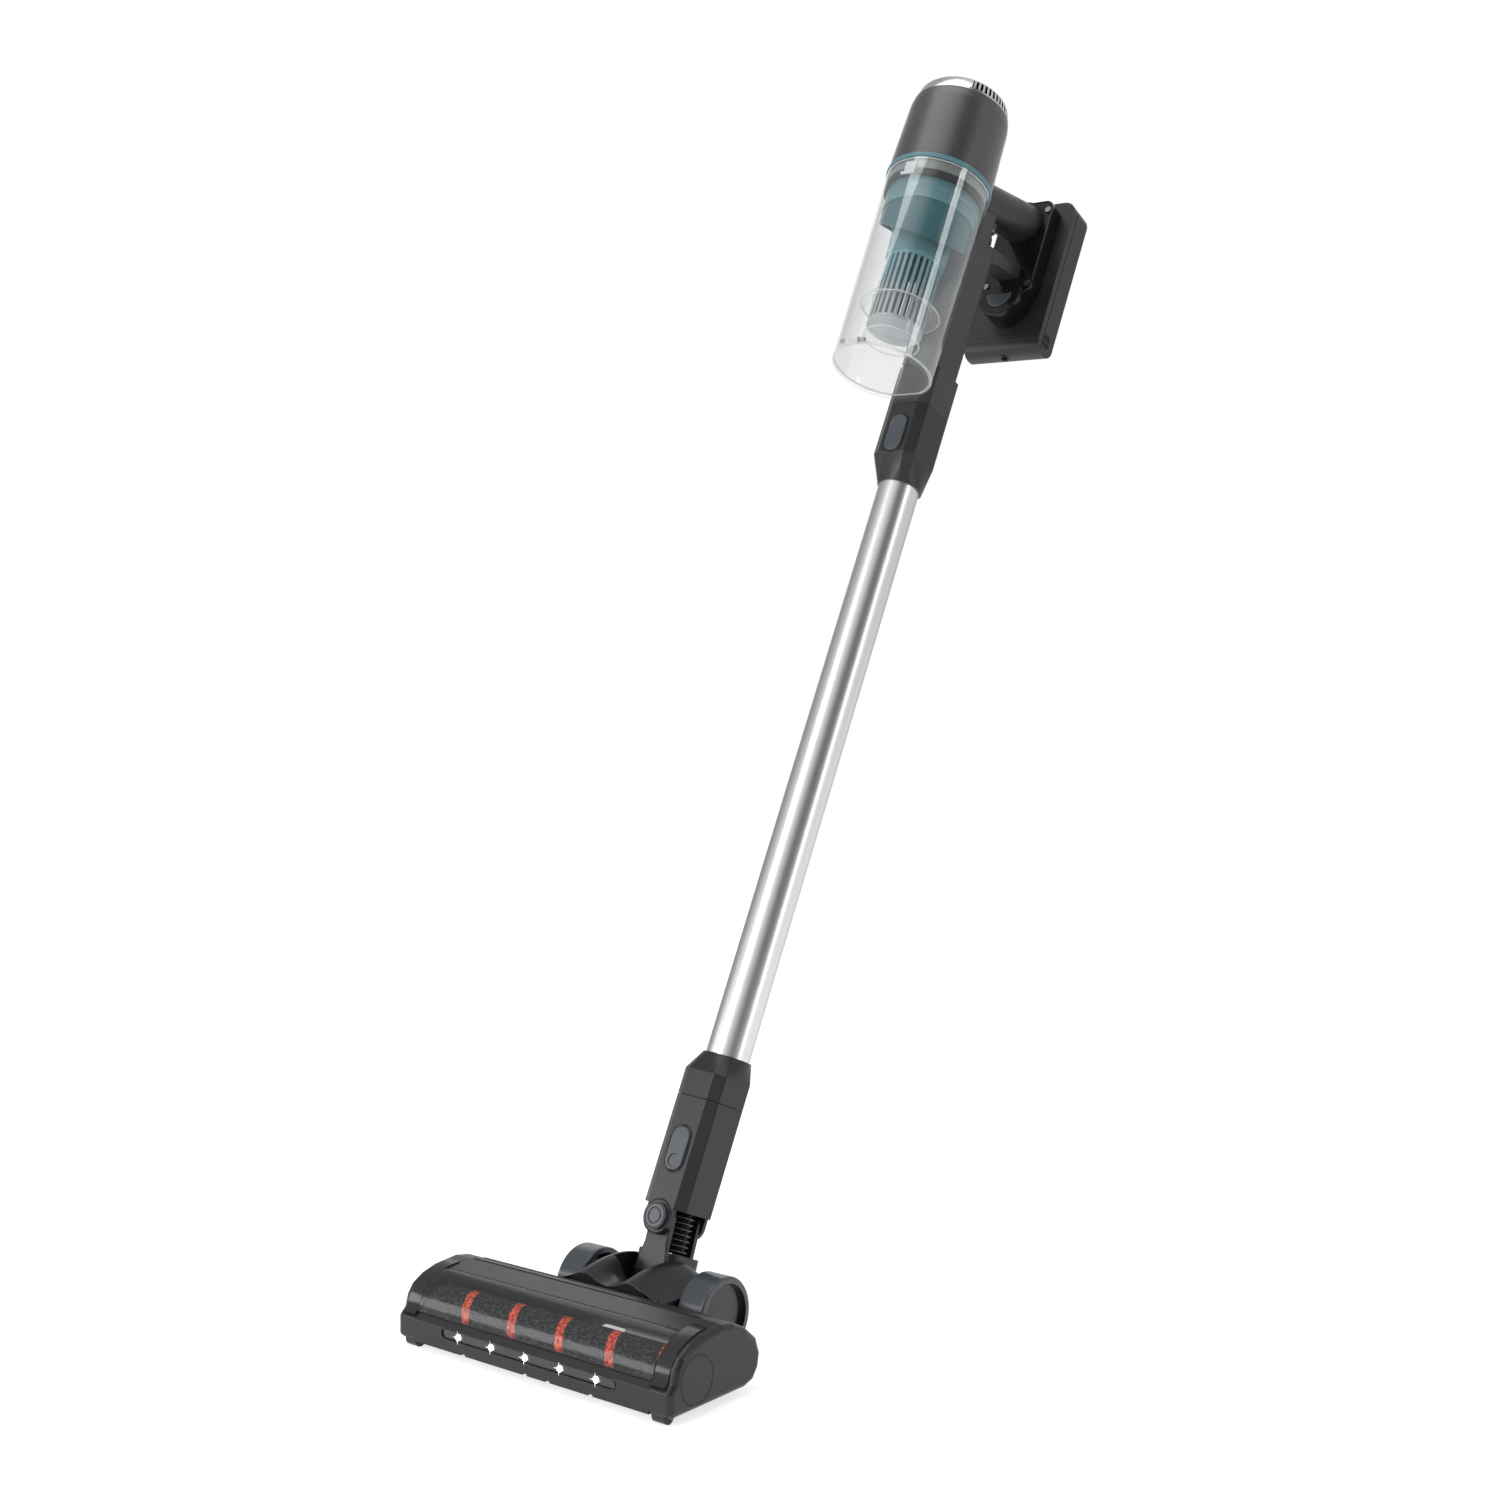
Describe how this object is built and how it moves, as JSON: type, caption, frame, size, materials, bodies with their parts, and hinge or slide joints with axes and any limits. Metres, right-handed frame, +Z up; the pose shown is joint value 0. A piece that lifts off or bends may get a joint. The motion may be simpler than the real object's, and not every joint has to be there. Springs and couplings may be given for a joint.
{
  "type": "cordless stick vacuum cleaner",
  "caption": "Cordless stick vacuum: clear cyclone cup and battery on a hand unit, metal wand, swivel neck and lit soft-roller floor head.",
  "frame": {"origin": "middle of the bounding box's base, on the floor", "axes": "+Z up, -Y towards the front of the floor head, +X to the right seen from the front"},
  "size_m": [0.265, 0.611, 1.0032],
  "materials": {
    "black_plastic": "fine-grained black moulded plastic",
    "board_green": "circuit board",
    "cell_wrap": "wrapped lithium cells",
    "clear_plastic": "clear polycarbonate",
    "filter_media": "pleated filter media",
    "gloss_black": "polished dark grey plastic",
    "gunmetal_plastic": "fine satin metallic-grey moulded plastic",
    "hose_rubber": "flexible black hose",
    "led_lens": "smoked clear strip",
    "led_white": "white light source",
    "nickel": "nickel strip",
    "roller_fabric": "soft black nap with red helical bands",
    "seal_rubber": "soft black rubber",
    "silver_ring": "bright satin metal",
    "slate_plastic": "satin slate-grey plastic",
    "steel": "turned steel",
    "teal_clear": "translucent teal plastic",
    "teal_plastic": "gloss teal plastic",
    "wand_aluminium": "fine brushed anodised aluminium",
    "window_clear": "clear polycarbonate"
  },
  "bodies": {
    "hand_unit": {"motor_housing": "gunmetal_plastic", "exhaust_ring": "silver_ring", "top_cap": "black_plastic", "accent_ring": "teal_plastic", "motor_can": "steel", "pre_filter": "filter_media", "exhaust_filter": "filter_media", "spine": "black_plastic", "grip_root": "black_plastic", "grip_sleeve": "black_plastic", "brace": "black_plastic", "battery_holder": "gloss_black", "circuit_board": "board_green", "holder_screws": "steel", "trigger_pin": "steel"},
    "motor_rotor": {"motor_rotor": "steel"},
    "trigger": {"trigger": "gloss_black"},
    "battery_button": {"battery_button": "slate_plastic"},
    "battery": {"battery_case": "black_plastic", "battery_cells": "cell_wrap", "battery_contacts": "nickel"},
    "dust_cup": {"dust_cup": "clear_plastic", "cup_ring": "clear_plastic", "cup_seal": "seal_rubber", "cyclone_body": "teal_clear", "baffle": "teal_clear", "louvre_shroud": "teal_clear", "skirt_disc": "clear_plastic", "inner_cup": "clear_plastic", "lid_pin": "steel"},
    "cup_lid": {"cup_lid": "clear_plastic"},
    "wand": {"wand_collar": "black_plastic", "wand_tube": "wand_aluminium", "tube_connector": "black_plastic"},
    "wand_button": {"wand_button": "slate_plastic"},
    "neck_socket": {"neck_collar": "black_plastic", "swivel_pins": "slate_plastic"},
    "neck_button": {"neck_button": "slate_plastic"},
    "neck_yoke": {"neck_yoke": "black_plastic", "swivel_hose": "hose_rubber"},
    "floor_head": {"head_base": "black_plastic", "top_cover": "black_plastic", "window": "window_clear", "end_cap_left": "black_plastic", "end_cap_right": "black_plastic", "led_strip": "led_lens", "leds": "led_white", "drive_motor": "steel", "drive_belt": "seal_rubber", "rear_body": "black_plastic", "axle_pins": "steel", "head_screws": "steel", "pitch_hose": "hose_rubber"},
    "drive_pulley": {"drive_pulley": "steel"},
    "brush_roller": {"roller_core": "black_plastic", "roller_sleeve": "roller_fabric"},
    "wheel_left": {"wheel_left": "slate_plastic"},
    "wheel_right": {"wheel_right": "slate_plastic"},
    "castor_left": {"castor_left": "black_plastic"},
    "castor_right": {"castor_right": "black_plastic"}
  },
  "joints": [
    {"name": "motor_spin", "type": "hinge", "parent": "hand_unit", "child": "motor_rotor", "pos_m": [0.06943, 0.12807, 0.94039], "axis": [0.0767, 0.3687, 0.9264], "continuous": true},
    {"name": "trigger_pull", "type": "hinge", "parent": "hand_unit", "child": "trigger", "pos_m": [0.06774, 0.19196, 0.89135], "axis": [0.9971, -0.0284, -0.0713], "range_deg": [0, 12], "stiffness_Nm_per_rad": 0.15},
    {"name": "battery_release", "type": "slide", "parent": "hand_unit", "child": "battery_button", "axis": [0, 0.9291, -0.3697], "range_m": [0, 0.0024], "stiffness_N_per_m": 600},
    {"name": "battery_removal", "type": "slide", "parent": "hand_unit", "child": "battery", "axis": [-0.0767, -0.3687, -0.9264], "range_m": [0, 0.09]},
    {"name": "cup_removal", "type": "slide", "parent": "hand_unit", "child": "dust_cup", "axis": [0, -0.9291, 0.3697], "range_m": [0, 0.1]},
    {"name": "lid_open", "type": "hinge", "parent": "dust_cup", "child": "cup_lid", "pos_m": [0.05352, 0.00989, 0.76486], "axis": [-0.9971, 0.0284, 0.0713], "range_deg": [0, 105]},
    {"name": "wand_removal", "type": "slide", "parent": "hand_unit", "child": "wand", "axis": [-0.0767, -0.3687, -0.9264], "range_m": [0, 0.04]},
    {"name": "wand_release", "type": "slide", "parent": "wand", "child": "wand_button", "axis": [0, 0.9291, -0.3697], "range_m": [0, 0.0024], "stiffness_N_per_m": 600},
    {"name": "neck_removal", "type": "slide", "parent": "wand", "child": "neck_socket", "axis": [-0.0767, -0.3687, -0.9264], "range_m": [0, 0.04]},
    {"name": "neck_release", "type": "slide", "parent": "neck_socket", "child": "neck_button", "axis": [0, 0.9291, -0.3697], "range_m": [0, 0.0024], "stiffness_N_per_m": 600},
    {"name": "neck_swivel", "type": "hinge", "parent": "neck_socket", "child": "neck_yoke", "pos_m": [0, -0.14425, 0.0776], "axis": [0, 0.9291, -0.3697], "range_deg": [-44.4, 35.6], "deforming": ["swivel_hose"]},
    {"name": "head_pitch", "type": "hinge", "parent": "neck_yoke", "child": "floor_head", "pos_m": [0, -0.16236, 0.03207], "axis": [1, 0, 0], "range_deg": [-21.7, 60], "deforming": ["pitch_hose"]},
    {"name": "roller_spin", "type": "hinge", "parent": "floor_head", "child": "brush_roller", "pos_m": [0, -0.27875, 0.0225], "axis": [1, 0, 0], "continuous": true},
    {"name": "pulley_spin", "type": "hinge", "parent": "floor_head", "child": "drive_pulley", "pos_m": [0.1, -0.23525, 0.024], "axis": [1, 0, 0], "continuous": true},
    {"name": "wheel_left_spin", "type": "hinge", "parent": "floor_head", "child": "wheel_left", "pos_m": [-0.06, -0.17525, 0.028], "axis": [1, 0, 0], "continuous": true},
    {"name": "wheel_right_spin", "type": "hinge", "parent": "floor_head", "child": "wheel_right", "pos_m": [0.06, -0.17525, 0.028], "axis": [1, 0, 0], "continuous": true},
    {"name": "castor_left_spin", "type": "hinge", "parent": "floor_head", "child": "castor_left", "pos_m": [-0.12, -0.29824, 0.005], "axis": [1, 0, 0], "continuous": true},
    {"name": "castor_right_spin", "type": "hinge", "parent": "floor_head", "child": "castor_right", "pos_m": [0.12, -0.29824, 0.005], "axis": [1, 0, 0], "continuous": true}
  ],
  "couplings": [
    {"joint": "pulley_spin", "follows": "roller_spin", "ratio": 1.52}
  ]
}
